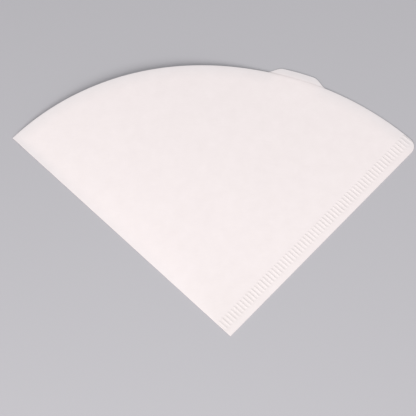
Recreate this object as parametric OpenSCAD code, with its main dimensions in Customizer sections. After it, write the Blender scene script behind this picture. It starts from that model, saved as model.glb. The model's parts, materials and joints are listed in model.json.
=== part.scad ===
// Cone filter for pour-over coffee, folded flat.
// One sheet of paper is folded along a straight edge. Along the other straight edge a row of
// pressed ribs holds its two layers together. Between them lies a pocket that opens at the rim.
// All lengths are in millimetres.

/* [Sheet] */
// Thickness of the paper
paper_t = 0.22; // [0.16:0.01:0.4]
// Length of the folded edge, from the tip to the rim
fold_len = 120; // [90:1:160]
// Length of the seam edge, from the tip to the rim
seam_len = 109.5; // [80:0.5:150]
// Radius of the rim's arc
rim_r = 115.5; // [90:0.5:200]
// Radius of the rounded corner between the seam edge and the rim
corner_r = 4; // [1:0.5:12]

/* [Pocket] */
// Greatest height of the pocket, at the rim
pocket_h = 3.6; // [1:0.1:8]
// Share of the opening, from the fold on, over which the upper layer bulges
bulge_part = 0.68; // [0.5:0.01:1]
// Height of the pocket beside the bulge, as a share of its greatest height
slack = 0.06; // [0.04:0.01:0.3]
// Number of flat strips that make up the curved upper layer
strips = 36; // [12:1:60]

/* [Seam] */
// Width of the seam, from its edge to where the layers part
seam_w = 8.6; // [8:0.1:14]
// Width of the plain margin outside the ribs
margin_w = 2.8; // [1:0.1:3.2]
// Length of a rib
rib_len = 4.7; // [2:0.1:5.1]
// Width of a rib
rib_w = 0.9; // [0.5:0.05:1.3]
// Height of a rib above the paper beside it
rib_h = 0.2; // [0.05:0.01:0.4]
// Distance from one rib to the next
rib_pitch = 1.63; // [1.4:0.01:4]
// Distance from the tip to the middle of the first rib
rib_first = 1.3; // [1:0.05:4]

/* [Tab] */
// Width of the tab's outer edge
tab_w = 12.4; // [5:0.1:30]
// How far the tab stands out past the rim
tab_h = 3.05; // [1:0.05:10]
// Length, along the rim, of each S-shaped side of the tab
tab_side = 7; // [3:0.1:15]
// Distance along the rim from the seam edge to the middle of the tab
tab_pos = 57; // [30:0.5:120]

/* [Hidden] */

// The flat outline is drawn with the tip at the origin, the seam edge along X and the folded
// edge along Y. The finished part is turned so that the tip points to -Y, and its box is centred.

// Centre of the rim's arc, which ends at [0, fold_len] and at [seam_len, 0]
rim_chord = norm([fold_len, seam_len]);
rim_c = [seam_len, fold_len]/2
    - [fold_len, seam_len]/rim_chord*sqrt(rim_r^2 - (rim_chord/2)^2);

// Centre of the corner's rounding, which touches the seam edge and the rim
corner_c = [rim_c.x + sqrt((rim_r - corner_r)^2 - (corner_r - rim_c.y)^2), corner_r];
corner_dir = (corner_c - rim_c)/norm(corner_c - rim_c);

// Circle of which a rib's section is the topmost part
rib_r = (rib_w^2/4 + rib_h^2)/(2*rib_h);
// The ribs go on for as long as a whole one fits before the rim
rib_last = min(edge_x(margin_w), edge_x(margin_w + rib_len)) - rib_w/2;
rib_count = floor((rib_last - rib_first)/rib_pitch) + 1;

// Where the rim or the rounded corner lies at the distance y from the seam edge
function edge_x(y) = y < corner_c.y
    ? corner_c.x + sqrt(corner_r^2 - (corner_r - y)^2)
    : rim_c.x + sqrt(rim_r^2 - (y - rim_c.y)^2);

// The tab rises from just inside the rim, so that it grows out of it without a step
tab_root = 0.01;
tab_steps = 40;
tab_turn = (tab_pos/rim_r)*180/PI - asin(rim_c.y/rim_r);

// Solids that the outline trims run past it, this far from the tip or from a rounding
spill = 20;
reach = max(fold_len, seam_len) + spill;

// Height of the tab's edge above the rim at the distance s along the rim from its middle
function tab_rise(s) =
    let (over = max(0, min(1, (abs(s) - tab_w/2)/tab_side)))
    (tab_h + tab_root)*(1 + cos(180*over))/2 - tab_root;

tab_edge = [
    for (i = [0:tab_steps])
        let (s = (tab_w/2 + tab_side)*(2*i/tab_steps - 1), a = tab_turn + s/rim_r*180/PI)
        rim_c + (rim_r + tab_rise(s))*[cos(a), sin(a)]
];

// Shape of the bulge across its own part of the opening: it leaves the fold at a slope, is 1 where
// it is highest and runs out flat
bulge_run = 1.5;
bulge_top = 1/(1 + bulge_run);
function bulge(s) = s/bulge_top*pow((1 - s)/(1 - bulge_top), bulge_run);

// Shape of the pocket across the whole opening, from 0 at the fold (q = 0) to 0 at the seam (q = 1)
function lift(q) =
    let (b = bulge(min(1, q/bulge_part)))
    b + (1 - b)*slack*4*q*(1 - q);

// Middle of the box that holds the finished part
box_right = (corner_c.x - corner_c.y)/sqrt(2) + corner_r;
box_left = -fold_len/sqrt(2);
box_back = max((rim_c.x + rim_c.y)/sqrt(2) + rim_r, max([for (p = tab_edge) (p.x + p.y)/sqrt(2)]));

// Outline of the sheet without the tab
module outline() {
    difference() {
        intersection() {
            square(reach);
            translate(rim_c) circle(rim_r, $fn = 360);
        }
        difference() {
            polygon([
                corner_c,
                [corner_c.x, -spill],
                [corner_c.x + spill, -spill],
                corner_c + (corner_r + spill)*corner_dir
            ]);
            translate(corner_c) circle(corner_r, $fn = 96);
        }
    }
}

// Both layers pressed flat, with the round outer side of the fold at x = 0
module pressed_layers() {
    translate([0, reach, 0]) rotate([90, 0, 0]) linear_extrude(reach + spill) {
        translate([paper_t, paper_t]) circle(paper_t, $fn = 48);
        translate([paper_t, 0]) square([reach, 2*paper_t]);
    }
}

// Wedge whose upper side is a flattened cone. Its tip is at the origin, the fold lies along Y and
// the seam along X. The upper side comes down to z = 0 at both, and a little past them.
module cone_wedge() {
    past = 0.02;
    top = [
        for (i = [0:strips])
            let (q = -past + (1 + 2*past)*i/strips, a = 90*(1 - q))
            [reach*cos(a), reach*sin(a), pocket_h*reach/rim_r*lift(q)]
    ];
    low = [for (p = top) [p.x, p.y, -2*paper_t]];
    n = strips + 1;
    polyhedron(
        points = concat([[0, 0, 0], [0, 0, -2*paper_t]], top, low),
        faces = concat(
            [for (i = [0:strips - 1]) [0, 2 + i, 3 + i]],
            [for (i = [0:strips - 1]) [1, 3 + n + i, 2 + n + i]],
            [for (i = [0:strips - 1]) [2 + i, 2 + n + i, 3 + n + i, 3 + i]],
            [[0, 1, 2 + n, 2]],
            [[0, 2 + strips, 2 + n + strips, 1]]
        )
    );
}

// Space under a cone that rises from the height z, down to the height low. It starts at the
// distance x from the fold and at the seam's inner line.
module under_cone(x, z, low) {
    intersection() {
        translate([x, seam_w, z]) cone_wedge();
        translate([x, seam_w, low]) linear_extrude(2*pocket_h) square(reach);
    }
}

// Row of round bars across the seam, whose tops stand rib_h above z = 0
module rib_bars() {
    for (i = [0:rib_count - 1]) translate([rib_first + i*rib_pitch, margin_w + rib_w/2, rib_h - rib_r]) {
        rotate([-90, 0, 0]) cylinder(h = rib_len - rib_w, r = rib_r, $fn = 32);
        for (y = [0, rib_len - rib_w]) translate([0, y, 0]) sphere(rib_r, $fn = 32);
    }
}

// Ribs on the upper side, rooted in the upper layer. The bars at z = 0 make the hollows below them.
module ribs() {
    intersection() {
        translate([0, 0, 2*paper_t]) rib_bars();
        translate([0, 0, paper_t]) linear_extrude(paper_t + 2*rib_h) square(reach);
    }
}

// Tab on the lower layer, which helps to pull the layers apart
module tab() {
    linear_extrude(paper_t) polygon(tab_edge);
}

module paper_filter() {
    color("#f7eeed")
    translate([-(box_left + box_right)/2, -box_back/2, 0]) rotate([0, 0, 45])
    difference() {
        union() {
            intersection() {
                linear_extrude(2*pocket_h + 2*paper_t) outline();
                union() {
                    pressed_layers();
                    under_cone(paper_t, 2*paper_t, paper_t);
                }
            }
            tab();
            ribs();
        }
        under_cone(2*paper_t, paper_t, paper_t);
        rib_bars();
    }
}

paper_filter();
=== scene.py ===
"""Flat-folded cone filter of white paper, lying on a pale studio floor.

The sheet is rebuilt as one fine closed mesh of the same form as its CAD solid, with the crimped
seam, the rolled fold, the pocket between the layers and the pull tab. Lengths are in metres. The
sheet is drawn in its own flat axes, x along the seam edge and y along the fold, both from the tip,
and then turned into the frame.
"""
import json
import math

import bpy
import numpy as np
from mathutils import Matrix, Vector, noise
from mathutils.geometry import delaunay_2d_cdt

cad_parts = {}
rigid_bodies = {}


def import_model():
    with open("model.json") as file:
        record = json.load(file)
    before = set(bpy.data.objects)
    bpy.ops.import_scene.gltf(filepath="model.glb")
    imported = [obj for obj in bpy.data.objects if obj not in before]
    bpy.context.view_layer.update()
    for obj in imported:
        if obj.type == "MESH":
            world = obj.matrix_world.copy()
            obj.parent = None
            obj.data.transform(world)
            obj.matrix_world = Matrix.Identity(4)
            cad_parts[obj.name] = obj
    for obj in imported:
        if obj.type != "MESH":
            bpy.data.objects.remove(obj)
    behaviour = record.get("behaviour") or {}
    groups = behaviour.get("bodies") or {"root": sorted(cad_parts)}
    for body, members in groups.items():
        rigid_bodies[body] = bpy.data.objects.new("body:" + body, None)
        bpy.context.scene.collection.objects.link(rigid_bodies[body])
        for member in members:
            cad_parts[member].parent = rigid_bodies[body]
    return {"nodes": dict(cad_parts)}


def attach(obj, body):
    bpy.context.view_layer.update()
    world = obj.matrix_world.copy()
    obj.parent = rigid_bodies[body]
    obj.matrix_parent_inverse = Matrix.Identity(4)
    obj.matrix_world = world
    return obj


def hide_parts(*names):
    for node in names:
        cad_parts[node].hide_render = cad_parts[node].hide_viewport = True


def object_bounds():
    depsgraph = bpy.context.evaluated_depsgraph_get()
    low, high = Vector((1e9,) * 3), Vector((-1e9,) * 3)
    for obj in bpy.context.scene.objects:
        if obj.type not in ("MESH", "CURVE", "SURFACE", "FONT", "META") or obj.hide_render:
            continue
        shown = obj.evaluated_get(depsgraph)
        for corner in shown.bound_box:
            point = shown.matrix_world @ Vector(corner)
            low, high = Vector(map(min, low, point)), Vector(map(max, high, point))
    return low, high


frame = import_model()
cad_lo, cad_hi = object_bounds()

MM = 0.001

# The sheet's sizes, as its CAD solid has them
PAPER_T = 0.22 * MM
FOLD_LEN = 120.0 * MM
SEAM_LEN = 109.5 * MM
RIM_R = 115.5 * MM
CORNER_R = 4.0 * MM
POCKET_H = 3.6 * MM
BULGE_PART = 0.68
BULGE_RUN = 1.5
SLACK = 0.06
SEAM_W = 8.6 * MM
MARGIN_W = 2.8 * MM
RIB_LEN = 4.7 * MM
RIB_W = 0.9 * MM
RIB_H = 0.2 * MM
RIB_PITCH = 1.63 * MM
RIB_FIRST = 1.3 * MM
TAB_W = 12.4 * MM
TAB_H = 3.05 * MM
TAB_SIDE = 7.0 * MM
TAB_POS = 57.0 * MM

# Centre of the rim's arc and of the rounded corner, and where the corner and the tab lie on the arc
CHORD = math.hypot(FOLD_LEN, SEAM_LEN)
RIM_DROP = math.sqrt(RIM_R ** 2 - (CHORD / 2) ** 2)
RIM_C = np.array([
    SEAM_LEN / 2 - FOLD_LEN / CHORD * RIM_DROP,
    FOLD_LEN / 2 - SEAM_LEN / CHORD * RIM_DROP,
])
CORNER_C = np.array([
    RIM_C[0] + math.sqrt((RIM_R - CORNER_R) ** 2 - (CORNER_R - RIM_C[1]) ** 2),
    CORNER_R,
])
CORNER_TURN = math.atan2(CORNER_C[1] - RIM_C[1], CORNER_C[0] - RIM_C[0])
TAB_TURN = TAB_POS / RIM_R - math.asin(RIM_C[1] / RIM_R)
# Half of the tab's length along the rim, with its two sides
TAB_HALF = TAB_W / 2 + TAB_SIDE

# Inner line of the fold, where the pocket begins
FOLD_IN = 2 * PAPER_T

# The tip of the sheet in the frame: its fold runs to the box's left side, at 45 degrees
TIP = Vector((cad_lo.x + FOLD_LEN / math.sqrt(2), cad_lo.y, 0.0))

# Pressing of the seam: how far a rib reaches to each side as a share of its width, the soft run of
# its inner and outer end, how uneven its height and its two ends are, and how deep the paper is
# pressed in
RIB_REACH = 0.62
RIB_IN_RUN = 0.7 * MM
RIB_OUT_RUN = 0.45 * MM
RIB_UNEVEN = 0.1
RIB_IN_UNEVEN = 0.06 * MM
RIB_OUT_UNEVEN = 0.05 * MM
SINK = 0.06 * MM
# Two numbers that spread the ribs' unevenness without a pattern
SCATTER_TURN = 12.9898
SCATTER_SPREAD = 43758.5453

# How much darker the paper is tinted: in the row of ribs, partly for the pressing's own greyer tone
# and partly as painted shade; by how much more between them and less on them, painted shade in the
# grooves;
# in the fine line at their outer ends, painted shade where the ribs step down to the margin; where
# that line lies past the margin, its half width, and the most that row and line add up to
RIB_ROW_PRESS_AND_SHADE = 0.4
GROOVE_SHADE_SWING = 0.03
RIB_END_SHADE = 0.55
EDGE_IN = 0.1 * MM
EDGE_HALF = 0.42 * MM
MOST_PRESS_AND_SHADE = 1.3

# The paper is tinted a little darker toward the tip: how much, and about how far from it
TIP_DARKENING = 0.65
TIP_REACH = 22.0 * MM

# Slight waves: their height and length, and how far they reach in from the seam edge and the rim.
# Over the pocket they carry finer ripples with this share of their height
MARGIN_WAVE_H = 0.08 * MM
MARGIN_WAVE_LEN = 9.0 * MM
MARGIN_REACH = 2.6 * MM
RIM_WAVE_H = 0.14 * MM
RIM_WAVE_LEN = 26.0 * MM
RIM_REACH = 16.0 * MM
UPPER_WAVE_H = 0.08 * MM
UPPER_WAVE_LEN = 34.0 * MM
UPPER_RIPPLE = 0.4
UPPER_RIPPLE_LEN = 15.0 * MM
# Height of the pocket at which the upper layer is free to wave
FREE_H = 2.0 * MM

# The tab's root: how high it lifts the sheet, how far it presses the lower layer against the upper
# one, its half width along the rim, and the share of the lift that is lost toward the tab's edge
ROOT_LIFT = 0.24 * MM
TAB_PRESS = 0.15 * MM
ROOT_HALF = 12.0 * MM
TAB_DROP = 0.4

# How wide the upper layer's cut rim is rounded off, how far down along the rim and at the tab, and
# over how long it begins beside the seam
RIM_SOFT = 0.45 * MM
RIM_THIN = 0.05 * MM
TAB_THIN = 0.12 * MM
RIM_SOFT_RUN = 2.0 * MM

# The pocket's layers part by a thin gap at once, in full this far from the lines where they meet
PART_GAP = 0.03 * MM
PART_RUN = 0.6 * MM

# Painted shade where the paper lets light through near the rim: its share at the rim, how wide that is
# and with which power it fades, and the power for the tab
RIM_FADE = 0.72
RIM_FADE_W = 6.0 * MM
RIM_FADE_POWER = 1.2
TAB_FADE_POWER = 0.4
# How wide the painted shade reaches along the fold, where the paper lets light through, and the two
# stretches over which it grows: by how much, from where and over how long
FOLD_FADE_W = 2.5 * MM
FOLD_FADES = ((0.35, 0.0 * MM, 50.0 * MM), (0.5, 80.0 * MM, 35.0 * MM))

# Line between the layers in the seam's cut edge: its depth, its half width, how much that varies
# and over what length
GROOVE = 0.12 * MM
LINE_HALF = 0.03 * MM
LINE_VARY = 0.02 * MM
LINE_WAVE_LEN = 5.0 * MM

# The fold: segments round it, how much its outer side varies and over what length
FOLD_SEGMENTS = 10
FOLD_VARY = 0.16
FOLD_WAVE_LEN = 6.0 * MM

# Which piece of the noise each of the uneven forms takes
MARGIN_SEED, RIM_SEED, UPPER_SEED, RIPPLE_SEED = 1, 2, 3, 4
SEED_SHIFT = Vector((7.31, 3.17, 1.91))
FOLD_NOISE_Z = 5.0
LINE_NOISE_Z = 9.0

# Points of the plan. Its lines have this many steps: the rounded corner, the four stretches of the
# rim, the fold, the tab and the pocket's line along the fold
CORNER_STEPS = 23
RIM_STEPS = (14, 70, 60, 140)
FOLD_STEPS = 109
TAB_STEPS = 60
POCKET_STEPS = 112
# Places short of the rim where the points end on the two lines along the fold, and on the pocket's
# line along the seam
FOLD_STOP = FOLD_LEN - 1.0 * MM
SEAM_STOP = CORNER_C[0] + 2.0 * MM
# The fold beside the seam has points of its own: from, to and step, in millimetres
FOLD_FINE_FROM = 10.0 * MM
FOLD_NEAR = (8.4, 0.2, -0.3)
# Rows along the seam, in millimetres from its edge: in the margin, and across the ribs from, to and
# step. The points of a row are FINE apart, and OUTER_STEP times that in the margin's outer part
MARGIN_ROWS = (0.35, 1.0, 1.8, 2.6)
RIB_ROWS = (3.1, 8.45, 0.26)
FINE = RIB_PITCH / 12
OUTER_MARGIN = 2.0 * MM
OUTER_STEP = 3
# Beyond the seam, rows of a growing step lead to an open lattice of equal triangles, whose rows run
# on past the widest place of the sheet
FIRST_ROW = 0.2 * MM
FIRST_STEP = 2 * FINE
STEP_GROWTH = 1.5
LAST_STEP = 1.2 * MM
LATTICE_STEP = 1.4 * MM
LATTICE_END = SEAM_LEN + 3.0 * MM
# Inner points stay this far from the edges, in the seam and elsewhere, from the rim beyond the seam,
# and from the pocket's lines along the seam and the fold
SEAM_ROOM = 0.1 * MM
ROOM = 0.45 * MM
RIM_ROOM = 2 * RIM_SOFT
SEAM_LINE_ROOM = 0.12 * MM
FOLD_LINE_ROOM = 0.1 * MM
# Points along the inner side of the rim's rounding, from this far past the seam to this turn
ROUNDING_POINTS = 260
ROUNDING_FROM = 1.0 * MM
ROUNDING_TO = math.radians(92.0)
# Rows on the tab, in millimetres past the rim: from, to and step, with their points' distance, and
# the room that they leave to the tab's edge
TAB_ROWS = (0.8, 2.8, 0.8)
TAB_STEP = 1.0 * MM
TAB_ROOM = 0.35 * MM
# The triangulation keeps only what lies inside the border, and takes points closer than this, in
# millimetres, as one
INSIDE_BORDER = 1
SAME_POINT = 1e-5

# Lengths up to this one count as none
TINY = 1e-9

# Faces that meet at more than this angle keep a sharp edge
SHARP = math.radians(42)

# Camera, from the photograph: its place from the tip, its turn and slope in degrees, how near and
# far it sees, its focal length and the picture's width in pixels, and the width of its sensor
CAMERA_FROM_TIP = Vector((-12.58 * MM, -166.05 * MM, 548.91 * MM))
CAMERA_TURN = 1.396
CAMERA_DOWN = 68.25
CAMERA_CLIP = (0.01, 20.0)
FOCAL_PX = 1500.0
PHOTO_PX = 416.0
SENSOR_MM = 36.0

# Colours of the paper, its tint for the pressing's own tone with painted shade at the ribs and the
# darkening toward the tip, its tint of painted shade where the paper lets light through, and the
# colour of the floor
PAPER_DARK = (0.901, 0.825, 0.818, 1)
PAPER_LIGHT = (0.934, 0.858, 0.853, 1)
PRESS_AND_SHADE_TINT = (0.935, 0.940, 0.932, 1)
SEE_THROUGH_SHADE_TINT = (0.880, 0.910, 0.922, 1)
FLOOR_COLOUR = (0.52, 0.51, 0.535, 1)

# The floor's size, and the gap that keeps it clear of the sheet's underside
FLOOR_SIZE = 4.0
FLOOR_GAP = 0.02 * MM

# Light that comes from all around
SKY_COLOUR = (0.98, 0.985, 1.0, 1)
SKY_STRENGTH = 0.43


def smooth(t):
    """0 below 0, 1 above 1, and a soft step between."""
    t = np.clip(t, 0.0, 1.0)
    return t * t * (3.0 - 2.0 * t)


def dome(t):
    """1 at 0, falling off softly on both sides."""
    return np.exp(-t ** 2)


def drift(p, size, seed):
    """Smooth noise from -1 to 1 at each point of the sheet, with waves about size long."""
    shift = SEED_SHIFT * seed
    return np.array([noise.noise(Vector((x / size, y / size, 0.0)) + shift) for x, y in p])


def scatter(i):
    """A fixed value from -1 to 1 for each whole number, with no pattern that shows."""
    spread = np.sin(i * SCATTER_TURN) * SCATTER_SPREAD
    return (spread - np.floor(spread)) * 2.0 - 1.0


def about_rim(p):
    """Distance of each point from the centre of the rim's arc, and its turn from the x axis."""
    from_c = p - RIM_C
    return np.hypot(from_c[:, 0], from_c[:, 1]), np.arctan2(from_c[:, 1], from_c[:, 0])


def on_rim(turn, rise=0.0):
    """Points of the rim's arc at these turns from the x axis, moved outward by rise."""
    turn = np.asarray(turn, float)
    r = RIM_R + np.asarray(rise, float) + 0.0 * turn
    return np.stack([RIM_C[0] + r * np.cos(turn), RIM_C[1] + r * np.sin(turn)], 1)


def edge_x(y):
    """Where the rim or the rounded corner lies at the distance y from the seam edge."""
    if y < CORNER_C[1]:
        return CORNER_C[0] + math.sqrt(CORNER_R ** 2 - (CORNER_R - y) ** 2)
    return RIM_C[0] + math.sqrt(RIM_R ** 2 - (y - RIM_C[1]) ** 2)


# The ribs go on for as long as a whole one fits before the rim
RIB_LAST = min(edge_x(MARGIN_W), edge_x(MARGIN_W + RIB_LEN)) - RIB_W / 2
RIB_COUNT = int((RIB_LAST - RIB_FIRST) / RIB_PITCH) + 1


def tab_rise(s):
    """How far the tab's edge lies beyond the rim, at the distance s along the rim from its middle."""
    over = np.clip((np.abs(s) - TAB_W / 2) / TAB_SIDE, 0.0, 1.0)
    return TAB_H * (1.0 + np.cos(math.pi * over)) / 2.0


def tab_share(turn):
    """1 in front of the tab's edge, 0 beside the tab, and a soft step in front of its sides."""
    return tab_rise((turn - TAB_TURN) * RIM_R) / TAB_H


def crimp(p):
    """The seam's pressing at each point: the ribs' height, and how much darker the paper is tinted
    there, partly for the pressing's own tone and partly as painted shade between the ribs and at their
    outer ends. The ribs are rounded bars across the seam, with soft ends."""
    x, y = p[:, 0], p[:, 1]
    i = np.clip(np.rint((x - RIB_FIRST) / RIB_PITCH), 0, RIB_COUNT - 1)
    uneven = scatter(i)
    turn = (x - RIB_FIRST) / RIB_PITCH * 2 * math.pi
    across = (x - RIB_FIRST - i * RIB_PITCH) / (RIB_W * RIB_REACH)
    bar = np.cos(np.clip(across, -1.0, 1.0) * math.pi / 2) ** 2
    inner = smooth((MARGIN_W + RIB_LEN + uneven * RIB_IN_UNEVEN - y) / RIB_IN_RUN)
    outer = smooth((y - MARGIN_W + uneven * RIB_OUT_UNEVEN) / RIB_OUT_RUN)
    strength = (1.0 + RIB_UNEVEN * uneven) * inner * outer
    # Painted shade: a fine dark line where the ribs' outer ends step down to the margin
    edge = RIB_END_SHADE * dome((y - MARGIN_W - EDGE_IN) / EDGE_HALF)
    # The row's tone is partly the pressing's own greyer tone, partly painted shade; the swing adds
    # painted shade between the ribs
    pressed = (RIB_ROW_PRESS_AND_SHADE - GROOVE_SHADE_SWING * np.cos(turn)) * strength + edge
    return RIB_H * bar * strength, np.clip(pressed, 0.0, MOST_PRESS_AND_SHADE)


def darker_toward_tip(p):
    """How much darker the paper is tinted toward the tip."""
    return TIP_DARKENING * dome(np.hypot(p[:, 0], p[:, 1]) / TIP_REACH)


def pocket_lift(p, fold_x):
    """Height of the pocket at each point: a shallow cone that bulges beside the fold, and stays
    close to the lower layer from there to the seam's inner line."""
    x = p[:, 0] - fold_x
    y = p[:, 1] - SEAM_W
    inside = (x > TINY) & (y > TINY)
    q = 1.0 - np.arctan2(np.maximum(y, 0.0), np.maximum(x, TINY)) / (math.pi / 2)
    s = np.minimum(q / BULGE_PART, 1.0)
    top = 1.0 / (1.0 + BULGE_RUN)
    bulge = s / top * ((1.0 - s) / (1.0 - top)) ** BULGE_RUN
    lift = bulge + (1.0 - bulge) * SLACK * 4 * q * (1.0 - q)
    return np.where(inside, lift * POCKET_H * np.hypot(x, y) / RIM_R, 0.0)


def part_gap(p):
    """Thin gap that the layers of the pocket part by, close to the lines where they meet."""
    near = np.minimum(p[:, 1] - SEAM_W, p[:, 0] - FOLD_IN)
    return PART_GAP * np.clip(near / PART_RUN, 0.0, 1.0)


def near_rim(r):
    """1 at the rim and beyond it, falling softly to 0 inward."""
    return smooth(1.0 - (RIM_R - r) / RIM_REACH)


def tab_root(p):
    """1 at the root of the tab, falling softly to 0 along the rim and inward."""
    r, turn = about_rim(p)
    return near_rim(r) * dome((turn - TAB_TURN) * RIM_R / ROOT_HALF)


def lower_waves(p):
    """Height of the lower layer above the floor: slight waves of the seam's margin, rim and tab."""
    r, _ = about_rim(p)
    margin = smooth(1.0 - p[:, 1] / MARGIN_REACH)
    margin = margin * np.maximum(drift(p, MARGIN_WAVE_LEN, MARGIN_SEED), 0.0)
    rim = near_rim(r) * np.maximum(drift(p, RIM_WAVE_LEN, RIM_SEED), 0.0)
    held = 1.0 - TAB_DROP * smooth((r - RIM_R) / TAB_H)
    return MARGIN_WAVE_H * margin + (RIM_WAVE_H * rim + ROOT_LIFT * tab_root(p)) * held


def upper_waves(p):
    """Slight waves of the upper layer over the pocket, which die out where the layers meet."""
    free = smooth(pocket_lift(p, FOLD_IN) / FREE_H)
    waves = drift(p, UPPER_WAVE_LEN, UPPER_SEED)
    ripples = drift(p, UPPER_RIPPLE_LEN, RIPPLE_SEED)
    return UPPER_WAVE_H * free * (waves + UPPER_RIPPLE * ripples)


def rim_wear(p):
    """How far the upper layer's cut rim is rounded down. The rounding begins beside the seam."""
    r, turn = about_rim(p)
    depth = RIM_THIN + (TAB_THIN - RIM_THIN) * tab_share(turn)
    depth = depth * np.clip(1.0 - (RIM_R - r) / RIM_SOFT, 0.0, 1.0)
    return depth * smooth((p[:, 1] - SEAM_W) / RIM_SOFT_RUN)


def see_through_shading(p):
    """How much painted shade the upper and the lower layer get toward the rim and, near it, the fold,
    standing in for the light that passes through where less paper backs them. The tab gets the most,
    and it backs the upper layer before it, which gets none there."""
    r, turn = about_rim(p)
    # Painted shade grows toward the rim, where the paper lets light through
    fade = RIM_FADE * np.clip(1.0 - (RIM_R - r) / RIM_FADE_W, 0.0, 1.0) ** RIM_FADE_POWER
    by_fold = sum(most * smooth((p[:, 1] - start) / run) for most, start, run in FOLD_FADES)
    fade = np.maximum(fade, by_fold * dome(p[:, 0] / FOLD_FADE_W))
    cover = tab_share(turn)
    upper = fade * (1.0 - cover)
    lower = upper + cover * np.clip((r - RIM_R) / TAB_H, 0.0, 1.0) ** TAB_FADE_POWER
    return upper, lower


def row(x, y):
    """Points with the same distance y from the seam edge."""
    return np.stack([x, 0.0 * x + y], 1)


def column(x, y):
    """Points with the same distance x from the fold."""
    return np.stack([0.0 * y + x, y], 1)


def plan_points():
    """The sheet's plan: points, and the named runs of them that bound its regions."""
    points, runs = [], {}

    def add(name, pts):
        """Adds points as a run of this name."""
        first = len(points)
        points.extend(map(tuple, pts))
        runs[name] = list(range(first, len(points)))

    add("seam", row(np.arange(PAPER_T, CORNER_C[0], FINE), 0.0))
    turn = np.linspace(-math.pi / 2, CORNER_TURN, CORNER_STEPS + 1)
    add("corner", CORNER_C + CORNER_R * np.stack([np.cos(turn), np.sin(turn)], 1))
    spots = (
        CORNER_TURN,
        math.asin((SEAM_W - RIM_C[1]) / RIM_R),
        TAB_TURN - TAB_HALF / RIM_R,
        TAB_TURN + TAB_HALF / RIM_R,
        math.acos((FOLD_IN - RIM_C[0]) / RIM_R),
    )
    for i, n in enumerate(RIM_STEPS):
        add("rim%d" % i, on_rim(np.linspace(spots[i], spots[i + 1], n + 1)[1:]))
    add("rim_end", on_rim([math.acos((PAPER_T - RIM_C[0]) / RIM_R)]))
    fold_y = np.concatenate([
        np.linspace(FOLD_STOP, FOLD_FINE_FROM, FOLD_STEPS + 1),
        np.arange(*FOLD_NEAR) * MM,
    ])
    add("fold", column(PAPER_T, fold_y))
    s = np.linspace(-TAB_HALF, TAB_HALF, TAB_STEPS + 1)
    add("tab", on_rim(TAB_TURN + s / RIM_R, tab_rise(s))[1:-1])
    inner_x = np.arange(FOLD_IN + FINE, SEAM_STOP, FINE)
    add("pocket_seam", row(np.concatenate([[FOLD_IN], inner_x]), SEAM_W))
    add("pocket_fold", column(FOLD_IN, np.linspace(SEAM_W, FOLD_STOP, POCKET_STEPS + 1)[1:]))
    return points, runs


def inside_sector(p, room):
    """Which points lie in the sheet without its tab, at least room from its edges."""
    r, _ = about_rim(p)
    ok = (p[:, 0] > PAPER_T + room) & (p[:, 1] > room) & (r < RIM_R - room)
    past = (p[:, 0] > CORNER_C[0]) & (p[:, 1] < CORNER_C[1])
    near = np.hypot(p[:, 0] - CORNER_C[0], p[:, 1] - CORNER_C[1]) < CORNER_R - room
    return ok & (~past | near)


def seam_rows():
    """Rows of points along the seam, shifted by half a step from one to the next."""
    rows = []
    for k, y in enumerate(np.concatenate([MARGIN_ROWS, np.arange(*RIB_ROWS)]) * MM):
        step = FINE * (OUTER_STEP if y < OUTER_MARGIN else 1)
        rows.append(row(np.arange(PAPER_T + FINE * (0.5 + 0.5 * (k % 2)), SEAM_LEN, step), y))
    return rows


def open_rows():
    """Rows of points beyond the seam: first of a growing step, then an open triangle lattice."""
    rows = []
    y, step = SEAM_W + FIRST_ROW, FIRST_STEP
    while step < LAST_STEP:
        rows.append(row(np.arange(FOLD_IN + step, SEAM_LEN, step), y))
        step *= STEP_GROWTH
        y += step
    k = 0
    while y < FOLD_LEN:
        first = FOLD_IN + LATTICE_STEP * (0.5 + 0.5 * (k % 2))
        rows.append(row(np.arange(first, LATTICE_END, LATTICE_STEP), y))
        y += LATTICE_STEP * math.sqrt(3) / 2
        k += 1
    return rows


def lattice():
    """Inner points of the plan: the rows that lie inside it, a line along the inner side of the
    rim's rounding, and rows on the tab."""
    pts = np.concatenate(seam_rows() + open_rows())
    in_seam = pts[:, 1] < SEAM_W
    keep = inside_sector(pts, np.where(in_seam, SEAM_ROOM, ROOM))
    keep &= in_seam | (about_rim(pts)[0] < RIM_R - RIM_ROOM)
    keep &= np.abs(pts[:, 1] - SEAM_W) > SEAM_LINE_ROOM
    keep &= np.abs(pts[:, 0] - FOLD_IN) > FOLD_LINE_ROOM
    from_turn = math.asin((SEAM_W + ROUNDING_FROM) / RIM_R)
    rounding = on_rim(np.linspace(from_turn, ROUNDING_TO, ROUNDING_POINTS), -RIM_SOFT)
    rounding = rounding[rounding[:, 0] > FOLD_IN + FOLD_LINE_ROOM]
    tab = []
    for rise in np.arange(*TAB_ROWS) * MM:
        s = np.arange(-TAB_HALF, TAB_HALF, TAB_STEP)
        s = s[tab_rise(s) > rise + TAB_ROOM]
        tab.append(on_rim(TAB_TURN + s / RIM_R, rise))
    return np.concatenate([pts[keep], rounding] + tab)


def sides(tri):
    """The three sides of a triangle, each as an unordered pair of points."""
    return [frozenset(pair) for pair in zip(tri, tri[1:] + tri[:1])]


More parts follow.
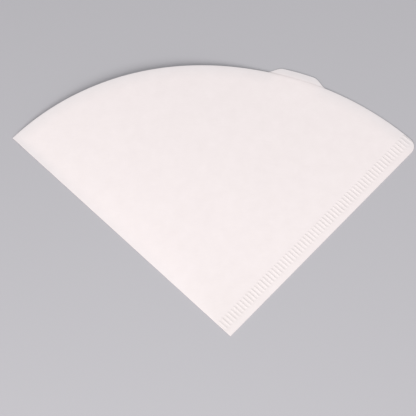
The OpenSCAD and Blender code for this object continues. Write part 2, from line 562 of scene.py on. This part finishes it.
def triangulate():
    """The plan's points and triangles, the runs that bound it, and each triangle's region."""
    points, runs = plan_points()
    rim = [i for k in range(len(RIM_STEPS)) for i in runs["rim%d" % k]] + runs["rim_end"]
    border = runs["seam"] + runs["corner"] + rim + runs["fold"]
    edges = list(zip(border, border[1:] + border[:1]))
    root = [runs["rim1"][-1]] + runs["tab"] + [runs["rim2"][-1]]
    seam_line = runs["pocket_seam"] + [runs["rim0"][-1]]
    fold_line = [runs["pocket_seam"][0]] + runs["pocket_fold"] + [runs["rim3"][-1]]
    for line in (root, seam_line, fold_line):
        edges += list(zip(line, line[1:]))
    points += list(map(tuple, lattice()))
    scaled = [Vector((x / MM, y / MM)) for x, y in points]
    cut = delaunay_2d_cdt(scaled, edges, [], INSIDE_BORDER, SAME_POINT)
    out, _, tris, origin, _, _ = cut
    plan = np.array([(v.x, v.y) for v in out]) * MM
    tris = [tuple(t) for t in tris]
    place = {old: new for new, olds in enumerate(origin) for old in olds}
    runs = {name: [place[i] for i in run] for name, run in runs.items()}
    fences = {frozenset((place[a], place[b])) for a, b in edges}
    return plan, tris, runs, regions(plan, tris, runs, fences)


def regions(plan, tris, runs, fences):
    """Each triangle's region: the pocket, the band round it that is one piece, or the tab. A region
    is filled from one triangle in it up to the fences."""
    beside = {}
    for n, tri in enumerate(tris):
        for side in sides(tri):
            beside.setdefault(side, []).append(n)
    middle = len(runs["rim2"]) // 2
    at_tab = beside[frozenset(runs["rim2"][middle:middle + 2])]
    at_tab.sort(key=lambda n: np.hypot(*(plan[list(tris[n])].mean(0) - RIM_C)))
    at_seam = beside[frozenset(runs["seam"][:2])]
    region = [""] * len(tris)
    for seed, name in ((at_tab[-1], "tab"), (at_tab[0], "pocket"), (at_seam[0], "band")):
        stack = [seed]
        while stack:
            n = stack.pop()
            if region[n]:
                continue
            region[n] = name
            for side in sides(tris[n]):
                if side not in fences:
                    stack += [m for m in beside[side] if not region[m]]
    return region


class Sheet:
    """Vertices and faces of the folded sheet. Each layer has a height at each point of the plan,
    and each mark has a value there."""

    def __init__(self, plan, heights, marks):
        self.plan = plan
        self.heights = heights
        self.marks = marks
        self.verts = []
        self.faces = []
        self.index = {}
        self.marked = {name: [] for name in marks}

    def vert(self, layer, i):
        """The vertex of this layer at point i of the plan, made when it is first asked for."""
        if (layer, i) not in self.index:
            self.index[layer, i] = len(self.verts)
            self.verts.append((self.plan[i][0], self.plan[i][1], self.heights[layer][i]))
            for name, layers in self.marks.items():
                self.marked[name].append(layers[layer][i] if layer in layers else 0.0)
        return self.index[layer, i]

    def extra(self, x, y, z):
        """A vertex that no layer has, with no marks."""
        self.verts.append((x, y, z))
        for values in self.marked.values():
            values.append(0.0)
        return len(self.verts) - 1

    def share(self, layer, other, line):
        """Makes one layer take the other's vertices along a line."""
        for i in line:
            self.index[layer, i] = self.vert(other, i)

    def fill(self, layer, tris, upward):
        """The faces of a layer, which look up or down."""
        for tri in tris:
            self.faces.append(tuple(self.vert(layer, i) for i in (tri if upward else reversed(tri))))

    def wall(self, lower, upper, line):
        """Upright faces from one layer to another along a line."""
        for a, b in zip(line, line[1:]):
            low_a, low_b = self.vert(lower, a), self.vert(lower, b)
            self.faces.append((low_a, low_b, self.vert(upper, b), self.vert(upper, a)))


def cut_edge(sheet, line, low, ribs):
    """The pressed seam's cut edge along a line, with the groove between its two layers. The groove
    runs out at both ends. Returns the vertex halfway up at the line's first point."""
    plan, first, last = sheet.plan, line[0], line[-1]
    start = sheet.extra(plan[first][0], plan[first][1], PAPER_T + low[first])
    lips = {first: [start] * 3, last: [sheet.vert("floor", last)] * 3}
    for before, i, after in zip(line, line[1:], line[2:]):
        way = plan[after] - plan[before]
        inward = np.array([-way[1], way[0]]) / np.hypot(*way)
        x, y = plan[i]
        z = PAPER_T + low[i] + 0.5 * ribs[i]
        varied = noise.noise(Vector((x / LINE_WAVE_LEN, y / LINE_WAVE_LEN, LINE_NOISE_Z)))
        open_h = LINE_HALF + LINE_VARY * varied
        bed = plan[i] + inward * GROOVE
        lips[i] = [
            sheet.extra(x, y, z - open_h),
            sheet.extra(bed[0], bed[1], z),
            sheet.extra(x, y, z + open_h),
        ]
    for a, b in zip(line, line[1:]):
        column_a = [sheet.vert("bottom", a)] + lips[a] + [sheet.vert("top", a)]
        column_b = [sheet.vert("bottom", b)] + lips[b] + [sheet.vert("top", b)]
        for k in range(len(column_a) - 1):
            ring = (column_a[k], column_b[k], column_b[k + 1], column_a[k + 1])
            sheet.faces.append(tuple(dict.fromkeys(ring)))
    return start


def rolled_fold(sheet, line, low, ends):
    """The fold along a line: half rounds from the top to the bottom, closed at both ends by faces
    that meet at a middle vertex."""
    rounds = []
    for i in line:
        x, y = sheet.plan[i]
        varied = 1.0 + FOLD_VARY * noise.noise(Vector((0.0, y / FOLD_WAVE_LEN, FOLD_NOISE_Z)))
        ring = [sheet.vert("top", i)]
        for k in range(1, FOLD_SEGMENTS):
            a = math.pi * k / FOLD_SEGMENTS
            z = PAPER_T * (1.0 + math.cos(a)) + low[i]
            ring.append(sheet.extra(x - PAPER_T * varied * math.sin(a), y, z))
        rounds.append(ring + [sheet.vert("bottom", i)])
    for a, b in zip(rounds, rounds[1:]):
        for k in range(FOLD_SEGMENTS):
            sheet.faces.append((a[k], a[k + 1], b[k + 1], b[k]))
    for k in range(FOLD_SEGMENTS):
        sheet.faces.append((ends[0], rounds[0][k + 1], rounds[0][k]))
        sheet.faces.append((ends[1], rounds[-1][k], rounds[-1][k + 1]))


def build_sheet():
    """The folded sheet as one closed mesh in the frame."""
    plan, tris, runs, region = triangulate()
    band, pocket, tab = (
        [t for t, r in zip(tris, region) if r == name] for name in ("band", "pocket", "tab")
    )
    ribs, pressed = crimp(plan)
    low = lower_waves(plan)
    high = low + upper_waves(plan)
    lifted = low + TAB_PRESS * tab_root(plan)
    crimped = ribs - SINK * np.minimum(pressed, 1.0)
    heights = {
        "top": 2 * PAPER_T + crimped + pocket_lift(plan, PAPER_T) + high - rim_wear(plan),
        "under": PAPER_T + pocket_lift(plan, FOLD_IN) + high + part_gap(plan),
        "floor": PAPER_T + lifted,
        "bottom": ribs + lifted,
    }
    # Painted shade where the paper lets light through, toward the rim, along the fold and on the tab
    upper, lower = see_through_shading(plan)
    # One mark tints the paper darker: at the ribs, the pressing's own tone with painted shade, and
    # toward the tip
    looks_pressed = pressed + darker_toward_tip(plan)
    sheet = Sheet(plan, heights, {
        "pressed": {"top": looks_pressed, "bottom": looks_pressed},
        "see_through_shade": {"top": upper, "under": upper, "floor": lower, "bottom": lower},
    })

    # The pocket's two inner faces share their points where the layers part
    corner_a, corner_b = runs["rim0"][-1], runs["rim3"][-1]
    sheet.share("under", "floor", runs["pocket_seam"] + runs["pocket_fold"] + [corner_a, corner_b])
    sheet.fill("top", band + pocket, True)
    sheet.fill("floor", pocket + tab, True)
    sheet.fill("bottom", tris, False)
    sheet.fill("under", pocket, False)

    seam_start = cut_edge(sheet, runs["seam"] + runs["corner"] + runs["rim0"], low, ribs)

    # The rim: the lower layer runs on round the tab, and both layers stay joined at the fold
    tab_line = runs["rim1"] + runs["tab"] + [runs["rim2"][-1]] + runs["rim3"]
    sheet.wall("under", "top", [corner_a] + runs["rim1"] + runs["rim2"] + runs["rim3"])
    sheet.wall("bottom", "floor", [corner_a] + tab_line)
    rim_end = runs["rim_end"][0]
    middle = sheet.extra(plan[rim_end][0], plan[rim_end][1], PAPER_T + low[rim_end])
    inner = sheet.vert("floor", corner_b)
    sheet.faces.append((sheet.vert("bottom", corner_b), sheet.vert("bottom", rim_end), middle, inner))
    sheet.faces.append((inner, middle, sheet.vert("top", rim_end), sheet.vert("top", corner_b)))

    rolled_fold(sheet, [rim_end] + runs["fold"] + [runs["seam"][0]], low, (middle, seam_start))
    return make_piece(sheet)


def make_piece(sheet):
    """The object that holds the sheet, turned by 45 degrees from its own axes into the frame."""
    v = np.array(sheet.verts)
    half = math.sqrt(0.5)
    turned = np.stack([
        (v[:, 0] - v[:, 1]) * half + TIP.x,
        (v[:, 0] + v[:, 1]) * half + TIP.y,
        v[:, 2],
    ], 1)
    mesh = bpy.data.meshes.new("paper_sheet")
    mesh.from_pydata(turned.tolist(), [], sheet.faces)
    for name, values in sheet.marked.items():
        mesh.attributes.new(name, "FLOAT", "POINT").data.foreach_set("value", values)
    mesh.shade_smooth()
    mesh.set_sharp_from_angle(angle=SHARP)
    piece = bpy.data.objects.new("paper_sheet", mesh)
    bpy.context.scene.collection.objects.link(piece)
    return piece


def make_paper():
    """White filter paper: cloudy formation, fine fibres and a faint crepe. It is tinted darker where
    the
    mesh is marked: at the seam's ribs, partly for the pressing's own tone and partly as painted shade;
    toward the tip; and with painted shade where the paper lets light through near the rim, the fold
    and on the tab."""
    mat = bpy.data.materials.new("filter_paper")
    mat.use_nodes = True
    nodes, links = mat.node_tree.nodes, mat.node_tree.links
    shader = nodes["Principled BSDF"]
    shader.inputs["Roughness"].default_value = 0.92
    shader.inputs["Specular IOR Level"].default_value = 0.25
    place = nodes.new("ShaderNodeTexCoord")

    def cloud(size, detail, rough, turn=0.0, stretch=(1.0, 1.0, 1.0), distortion=0.0):
        """Noise with size waves to a millimetre, turned in degrees and stretched along the axes."""
        mapping = nodes.new("ShaderNodeMapping")
        mapping.inputs["Rotation"].default_value = (0.0, 0.0, math.radians(turn))
        mapping.inputs["Scale"].default_value = [s / MM for s in stretch]
        waves = nodes.new("ShaderNodeTexNoise")
        waves.inputs["Scale"].default_value = size
        waves.inputs["Detail"].default_value = detail
        waves.inputs["Roughness"].default_value = rough
        waves.inputs["Distortion"].default_value = distortion
        links.new(place.outputs["Object"], mapping.inputs["Vector"])
        links.new(mapping.outputs["Vector"], waves.inputs["Vector"])
        return waves.outputs["Fac"]

    def blend(*parts):
        """The sum of some sockets, each times its share."""
        total = None
        for socket, share in parts:
            scaled = nodes.new("ShaderNodeMath")
            scaled.operation = "MULTIPLY"
            scaled.inputs[1].default_value = share
            links.new(socket, scaled.inputs[0])
            if total is None:
                total = scaled.outputs[0]
                continue
            added = nodes.new("ShaderNodeMath")
            added.operation = "ADD"
            links.new(total, added.inputs[0])
            links.new(scaled.outputs[0], added.inputs[1])
            total = added.outputs[0]
        return total

    def tinted(colour, mark, tint):
        """Multiplies the colour by a tint where the mesh carries the mark."""
        source = nodes.new("ShaderNodeAttribute")
        source.attribute_name = mark
        mixer = nodes.new("ShaderNodeMix")
        mixer.data_type = "RGBA"
        mixer.blend_type = "MULTIPLY"
        mixer.clamp_factor = False
        mixer.inputs["B"].default_value = tint
        links.new(source.outputs["Fac"], mixer.inputs["Factor"])
        links.new(colour, mixer.inputs["A"])
        return mixer.outputs["Result"]

    formation = cloud(size=0.22, detail=3.0, rough=0.55)
    fibre_a = cloud(size=1.0, detail=2.0, rough=0.5, turn=24, stretch=(0.35, 2.6, 1.0), distortion=1.2)
    fibre_b = cloud(size=1.0, detail=2.0, rough=0.5, turn=-52, stretch=(0.4, 2.2, 1.0), distortion=1.2)
    ramp = nodes.new("ShaderNodeValToRGB")
    dark, light = ramp.color_ramp.elements
    dark.position, light.position = 0.32, 0.66
    dark.color, light.color = PAPER_DARK, PAPER_LIGHT
    links.new(blend((formation, 0.55), (fibre_a, 0.22), (fibre_b, 0.22)), ramp.inputs["Fac"])
    # Painted shade at the ribs, with the pressing's own tone and the darkening toward the tip
    colour = tinted(ramp.outputs["Color"], "pressed", PRESS_AND_SHADE_TINT)
    # Painted shade where the paper lets light through, near the rim, along the fold and on the tab
    colour = tinted(colour, "see_through_shade", SEE_THROUGH_SHADE_TINT)
    links.new(colour, shader.inputs["Base Color"])

    crepe = cloud(size=1.0, detail=2.0, rough=0.6, turn=38, stretch=(0.30, 1.9, 1.0), distortion=0.4)
    grain = cloud(size=2.6, detail=3.0, rough=0.6)
    bump = nodes.new("ShaderNodeBump")
    bump.inputs["Strength"].default_value = 0.35
    bump.inputs["Distance"].default_value = 0.03 * MM
    relief = blend((crepe, 0.6), (grain, 0.5), (fibre_a, 0.25), (fibre_b, 0.25))
    links.new(relief, bump.inputs["Height"])
    links.new(bump.outputs["Normal"], shader.inputs["Normal"])
    return mat


def make_floor():
    """A plain pale floor, which isn't part of the object."""
    bpy.ops.mesh.primitive_plane_add(size=FLOOR_SIZE, location=(0.0, 0.0, -FLOOR_GAP))
    floor = bpy.context.object
    floor.name = "floor"
    mat = bpy.data.materials.new("floor")
    mat.use_nodes = True
    shader = mat.node_tree.nodes["Principled BSDF"]
    shader.inputs["Base Color"].default_value = FLOOR_COLOUR
    shader.inputs["Roughness"].default_value = 0.95
    shader.inputs["Specular IOR Level"].default_value = 0.1
    floor.data.materials.append(mat)


def add_area(name, place, size, power, colour):
    """A round soft light that looks at the middle of the object's underside."""
    light = bpy.data.lights.new(name, "AREA")
    light.shape = "DISK"
    light.size = size
    light.energy = power
    light.color = colour
    lamp = bpy.data.objects.new(name, light)
    lamp.location = place
    lamp.rotation_euler = (-Vector(place)).to_track_quat("-Z", "Y").to_euler()
    bpy.context.scene.collection.objects.link(lamp)


def make_light():
    """Soft studio light: a key from the tip's side, a fill from the seam's side and a pale sky."""
    add_area("key", place=(-0.16, -0.52, 0.52), size=0.5, power=3.9, colour=(1.0, 0.99, 0.985))
    add_area("fill", place=(0.6, 0.1, 0.8), size=0.9, power=2.2, colour=(0.98, 0.99, 1.0))
    world = bpy.data.worlds.new("studio")
    world.use_nodes = True
    sky = world.node_tree.nodes["Background"]
    sky.inputs["Color"].default_value = SKY_COLOUR
    sky.inputs["Strength"].default_value = SKY_STRENGTH
    bpy.context.scene.world = world
    bpy.context.scene.view_settings.view_transform = "Standard"


def add_camera():
    """The photograph's camera."""
    turn, down = math.radians(CAMERA_TURN), math.radians(CAMERA_DOWN)
    data = bpy.data.cameras.new("camera")
    data.sensor_width = SENSOR_MM
    data.lens = FOCAL_PX / PHOTO_PX * SENSOR_MM
    data.clip_start, data.clip_end = CAMERA_CLIP
    camera = bpy.data.objects.new("camera", data)
    camera.location = TIP + CAMERA_FROM_TIP
    camera.rotation_euler = (math.pi / 2 - down, 0.0, -turn)
    bpy.context.scene.collection.objects.link(camera)
    bpy.context.scene.camera = camera


for old in [o for o in bpy.data.objects if o.name in ("Cube", "Light", "Camera")]:
    bpy.data.objects.remove(old)

paper = make_paper()
sheet = build_sheet()
sheet.data.materials.append(paper)
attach(sheet, "root")
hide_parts("paper_filter")
for slot in frame["nodes"]["paper_filter"].material_slots:
    slot.material = paper

make_floor()
make_light()
add_camera()
